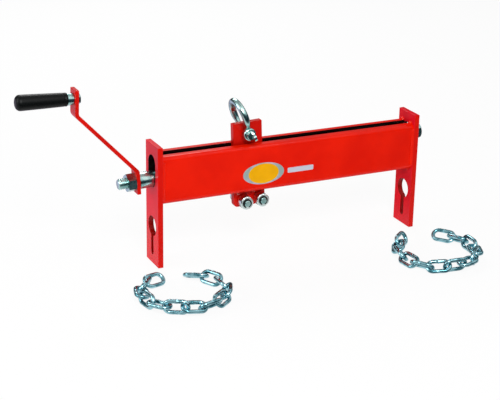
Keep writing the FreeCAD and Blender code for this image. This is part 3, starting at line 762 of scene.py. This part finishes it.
class LEVELER_OT_grip(bpy.types.Operator):
    """Grip: a turned barrel that swells to a domed end, with a moulded lip at its root"""
    bl_idname = "leveler.grip"
    bl_label = "Grip"

    def execute(self, context):
        origin, axis, level, upward = joint_line("grip_spin")
        free, root = reach("grip", origin, axis)
        span = root - free
        # The dome's rounding and the lip's length; the barrel's radius and how it falls to the root
        dome, lip = 9.0 * MM, 6.0 * MM
        thick, fall, power = 14.25 * MM, 2.3 * MM, 1.2
        dome_rings, barrel_rings, points_per_ring = 14, 40, 56
        turn = np.linspace(0, math.pi / 2, dome_rings)
        body = np.linspace(dome, span - lip, barrel_rings)
        barrel = thick - fall * (body / span) ** power
        cap_places = dome * (1 - np.cos(turn[:-1]))
        cap_radii = barrel[0] - dome * (1 - np.sin(turn[:-1]))
        # A groove, a collar and a rounded edge
        lip_places = span - np.array([5.6, 5.0, 4.4, 1.2, 0.4, 0.1, 0.0]) * MM
        lip_radii = np.array([11.95, 11.6, 11.95, 12.0, 11.9, 11.7, 11.3]) * MM
        places = free + np.concatenate([cap_places, body, lip_places])
        radii = np.concatenate([cap_radii, barrel, lip_radii])
        rings = lathe(origin, axis, level, upward, places, radii, points_per_ring)
        made = piece("moulded_grip", *skin(rings), "moulded_black_plastic", "grip", "black_plastic",
                     crease=50.0)
        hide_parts("grip")
        return {"FINISHED"}


def beam_face(along, up):
    """Point on the front face of the beam, from its left end and its underside."""
    low = np.array(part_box("front_channel")[0])
    return low + np.array([along, 0.0, up])


class LEVELER_OT_badge(bpy.types.Operator):
    """Blank oval plate: rings of one ellipse, a raised rim round a shallow dome"""
    bl_idname = "leveler.badge"
    bl_label = "Blank oval plate"

    def execute(self, context):
        middle = beam_face(sizes().badge_along, sizes().badge_up)
        x, y, z = np.eye(3)
        outer = np.array([sizes().badge_width, sizes().badge_height]) / 2
        inner = np.array([sizes().field_width, sizes().field_height]) / 2
        points_per_ring = 96
        # Rings from the middle of the back, over the rim, to the middle of the field, and their heights
        rim = np.array([[0.02, 1.0, 1.0, 0.99, 0.97]]).T * outer
        dome = np.array([[1.03, 1.0, 0.98, 0.75, 0.5, 0.25, 0.02]]).T * inner
        halves = np.concatenate([rim, dome])
        rises = np.array([0.0, 0.0, 0.6, 0.85, 0.95, 1.0, 0.7, 0.65, 0.95, 1.15, 1.25, 1.3]) * MM
        turn = np.linspace(0, 2 * np.pi, points_per_ring, endpoint=False)[None, :, None]
        oval = halves[:, None, :1] * np.cos(turn) * x + halves[:, None, 1:] * np.sin(turn) * z
        verts, faces = skin(middle - rises[:, None, None] * y + oval)
        made = piece("oval_plate", verts, faces, "silver_print", "frame", crease=30.0)
        made.data.materials.append(finish("yellow_domed_resin"))
        field = np.zeros(len(faces), dtype=np.int32)
        # The field starts one band inside the rim; the last face but one is the back's cap
        field[points_per_ring * (len(rim) + 1):] = 1
        field[-2] = 0
        made.data.polygons.foreach_set("material_index", field)
        return {"FINISHED"}


class LEVELER_OT_label(bpy.types.Operator):
    """Blank label: a thin plate with rounded corners, a superellipse of high power"""
    bl_idname = "leveler.label"
    bl_label = "Blank label"

    def execute(self, context):
        middle = beam_face(sizes().label_along, sizes().label_up)
        x, y, z = np.eye(3)
        points, thick = 80, 0.25 * MM
        power = 2 / 14
        turn = np.linspace(0, 2 * np.pi, points, endpoint=False)
        across = np.sign(np.cos(turn)) * np.abs(np.cos(turn)) ** power * sizes().label_width / 2
        up = np.sign(np.sin(turn)) * np.abs(np.sin(turn)) ** power * sizes().label_height / 2
        outline = middle + across[:, None] * x + up[:, None] * z
        rings = np.stack([outline, outline - thick * y])
        piece("blank_label", *skin(rings), "silver_grey_vinyl", "frame", crease=30.0)
        return {"FINISHED"}


class LEVELER_OT_stage(bpy.types.Operator):
    """Pale floor, soft lamps and the camera"""
    bl_idname = "leveler.stage"
    bl_label = "Stage"

    def execute(self, context):
        scene = context.scene
        scene.view_settings.view_transform = "Standard"
        self.floor(scene)
        self.light(scene)
        self.camera(scene)
        return {"FINISHED"}

    def floor(self, scene):
        """Pale floor: nearly white to the camera, shaded in reflections, plain matt for the lamps."""
        far = 12.0
        # Share of white that the camera sees; the rest is matt floor, which takes the part's shadow
        to_eye = 0.91
        mesh = bpy.data.meshes.new("studio_floor")
        corners = [(-far, -far, 0), (far, -far, 0), (far, far, 0), (-far, far, 0)]
        mesh.from_pydata(corners, [], [(0, 1, 2, 3)])
        made = bpy.data.materials.new("pale_floor")
        made.use_nodes = True
        tree = made.node_tree
        tree.nodes.clear()
        seen = add(tree, "ShaderNodeLightPath").outputs
        eye = add(tree, "ShaderNodeMath", {0: seen["Is Camera Ray"]}, {1: to_eye}, operation="MULTIPLY")
        share = add(tree, "ShaderNodeMath", {0: eye.outputs[0], 1: seen["Is Glossy Ray"]},
                    operation="MAXIMUM")
        matt = add(tree, "ShaderNodeBsdfDiffuse", values={"Color": colours().floor})
        # Reflections find the floor dark in front, white under the part and lilac behind it, over a metre
        half_way = 0.5
        middle = (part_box("front_channel")[0][1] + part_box("rear_channel")[1][1]) / 2
        place = add(tree, "ShaderNodeTexCoord").outputs["Object"]
        spot = add(tree, "ShaderNodeSeparateXYZ", {0: place}).outputs
        along = add(tree, "ShaderNodeMapRange", {"Value": spot["Y"]},
                    {"From Min": middle - half_way, "From Max": middle + half_way}).outputs[0]
        seen_in_metal = ramp(tree, along, ((0.15, linear("#1E3038")), (0.28, linear("#FFFFFF")),
                                           (0.62, linear("#FFFFFF")), (0.80, linear("#E0D6F0"))))
        # A painted dim patch stands in for the part's shade behind the beam, from the left end plate on
        fade_along, fade_back, deepest = 0.2, 0.1, 0.9
        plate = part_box("left_end_plate")[1][0]
        right = add(tree, "ShaderNodeMapRange", {"Value": spot["X"]},
                    {"From Min": plate, "From Max": plate + fade_along})
        behind = add(tree, "ShaderNodeMapRange", {"Value": spot["Y"]},
                     {"From Min": middle, "From Max": middle + fade_back, "To Max": deepest})
        dim = add(tree, "ShaderNodeMath", {0: right.outputs[0], 1: behind.outputs[0]},
                  operation="MULTIPLY")
        dimmed = add(tree, "ShaderNodeMix", {"Factor": dim.outputs[0], "A": seen_in_metal},
                     {"B": linear("#402028")}, data_type="RGBA")
        shade = add(tree, "ShaderNodeMix", {"Factor": seen["Is Camera Ray"], "A": dimmed.outputs["Result"]},
                    {"B": linear("#FFFFFF")}, data_type="RGBA")
        glow = add(tree, "ShaderNodeEmission", {"Color": shade.outputs["Result"]}, {"Strength": 1.0})
        mixed = add(tree, "ShaderNodeMixShader",
                    {0: share.outputs[0], 1: matt.outputs[0], 2: glow.outputs[0]})
        add(tree, "ShaderNodeOutputMaterial", {"Surface": mixed.outputs[0]})
        mesh.materials.append(made)
        floor = bpy.data.objects.new("studio_floor", mesh)
        scene.collection.objects.link(floor)

    def light(self, scene):
        """Dim even room and four soft lamps."""
        world = bpy.data.worlds.new("studio")
        world.use_nodes = True
        tree = world.node_tree
        tree.nodes.clear()
        # Metal sees a wide softbox high in front, over a dark horizon, and little behind
        seen = add(tree, "ShaderNodeLightPath").outputs
        heading = add(tree, "ShaderNodeTexCoord").outputs["Generated"]
        way = add(tree, "ShaderNodeSeparateXYZ", {0: heading}).outputs
        height = ramp(tree, way["Z"], ((0.0, linear("#2E444C")), (0.27, linear("#3A5560")),
                                       (0.36, linear("#FFFFFF")), (0.88, linear("#FFFFFF")),
                                       (0.96, linear("#A8A8A8"))))
        front = add(tree, "ShaderNodeMapRange", {"Value": way["Y"]},
                    {"From Min": 0.15, "From Max": 0.65, "To Min": 1.0, "To Max": 0.3})
        level = add(tree, "ShaderNodeMath", {0: front.outputs[0], 1: seen["Is Glossy Ray"]},
                    operation="MULTIPLY")
        softbox = add(tree, "ShaderNodeBackground", {"Color": height, "Strength": level.outputs[0]})
        # All else is lit by an even grey room
        grey = (0.27, 0.27, 0.27, 1.0)
        plain = add(tree, "ShaderNodeMath", {1: seen["Is Glossy Ray"]}, {0: 1.0}, operation="SUBTRACT")
        room = add(tree, "ShaderNodeBackground", {"Strength": plain.outputs[0]}, {"Color": grey})
        both = add(tree, "ShaderNodeAddShader", {0: softbox.outputs[0], 1: room.outputs[0]})
        add(tree, "ShaderNodeOutputWorld", {"Surface": both.outputs[0]})
        scene.world = world
        # Place, width and power of each lamp, all aimed at the beam
        aim = np.array([0.0, 0.1, 0.15])
        for name, place, size, watts in (
                ("key", (-0.7, -2.2, 2.1), 1.0, 58),
                ("strip", (1.1, -1.1, 2.2), 0.5, 3),
                ("left", (-2.2, 0.4, 1.0), 1.2, 19),
                ("back", (0.4, 2.2, 1.8), 1.2, 26)):
            data = bpy.data.lights.new(name, "AREA")
            data.size = size
            data.energy = watts
            lamp = bpy.data.objects.new(name, data)
            lamp.matrix_world = facing(place, np.array(place) - aim, 0.0)
            scene.collection.objects.link(lamp)

    def camera(self, scene):
        """Camera at the photograph's place, from a fit to the corners of the beam and the end plates."""
        azimuth, elevation, roll = np.radians([-25.497, 20.655, 1.082])
        # From the point on the floor midway between the end plates
        offset = np.array([-1.1384, -2.2315, 1.0278])
        # A 100.8 mm lens on a 36 mm frame: 1400 pixels of focal length at 500 across
        data = bpy.data.cameras.new("photo_view")
        data.lens = 100.8
        data.sensor_width = 36.0
        data.sensor_fit = "HORIZONTAL"
        data.clip_end = 100.0
        made = bpy.data.objects.new("photo_view", data)
        out = math.cos(elevation)
        back = (math.sin(azimuth) * out, -math.cos(azimuth) * out, math.sin(elevation))
        low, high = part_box("left_end_plate")[0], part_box("right_end_plate")[1]
        middle = np.array([(low[0] + high[0]) / 2, (low[1] + high[1]) / 2, 0.0])
        made.matrix_world = facing(middle + offset, back, roll)
        scene.collection.objects.link(made)
        scene.camera = made


def facing(place, back, roll):
    """World matrix of a lamp or camera at a place, looking along -back, rolled about that line."""
    back = np.array(back) / np.linalg.norm(back)
    right = np.cross([0.0, 0.0, 1.0], back)
    right /= np.linalg.norm(right)
    up = np.cross(back, right)
    turned = math.cos(roll) * right + math.sin(roll) * up
    upright = -math.sin(roll) * right + math.cos(roll) * up
    rows = np.eye(4)
    rows[:3, 0], rows[:3, 1], rows[:3, 2], rows[:3, 3] = turned, upright, back, place
    return Matrix(rows.tolist())


class LEVELER_PT_panel(bpy.types.Panel):
    """Sizes, colours and makers of the load leveler"""
    bl_idname = "LEVELER_PT_panel"
    bl_label = "Load leveler"
    bl_space_type = "VIEW_3D"
    bl_region_type = "UI"
    bl_category = "Leveler"

    def draw(self, context):
        for group in (context.scene.leveler_sizes, context.scene.leveler_colours):
            for name in group.__annotations__:
                self.layout.prop(group, name)
        for operator in OPERATORS:
            self.layout.operator(operator.bl_idname)


OPERATORS = (LEVELER_OT_finishes, LEVELER_OT_spindle, LEVELER_OT_chains, LEVELER_OT_shackle,
             LEVELER_OT_welds, LEVELER_OT_grip, LEVELER_OT_badge, LEVELER_OT_label, LEVELER_OT_stage)
CLASSES = (LevelerSizes, LevelerColours, *OPERATORS, LEVELER_PT_panel)


def register():
    for kind in CLASSES:
        bpy.utils.register_class(kind)
    bpy.types.Scene.leveler_sizes = PointerProperty(type=LevelerSizes)
    bpy.types.Scene.leveler_colours = PointerProperty(type=LevelerColours)


def unregister():
    del bpy.types.Scene.leveler_colours
    del bpy.types.Scene.leveler_sizes
    for kind in reversed(CLASSES):
        bpy.utils.unregister_class(kind)


def main():
    register()
    bpy.ops.leveler.finishes()
    bpy.ops.leveler.spindle()
    bpy.ops.leveler.chains()
    bpy.ops.leveler.shackle()
    bpy.ops.leveler.welds()
    bpy.ops.leveler.grip()
    bpy.ops.leveler.badge()
    bpy.ops.leveler.label()
    bpy.ops.leveler.stage()


if __name__ == "__main__":
    main()
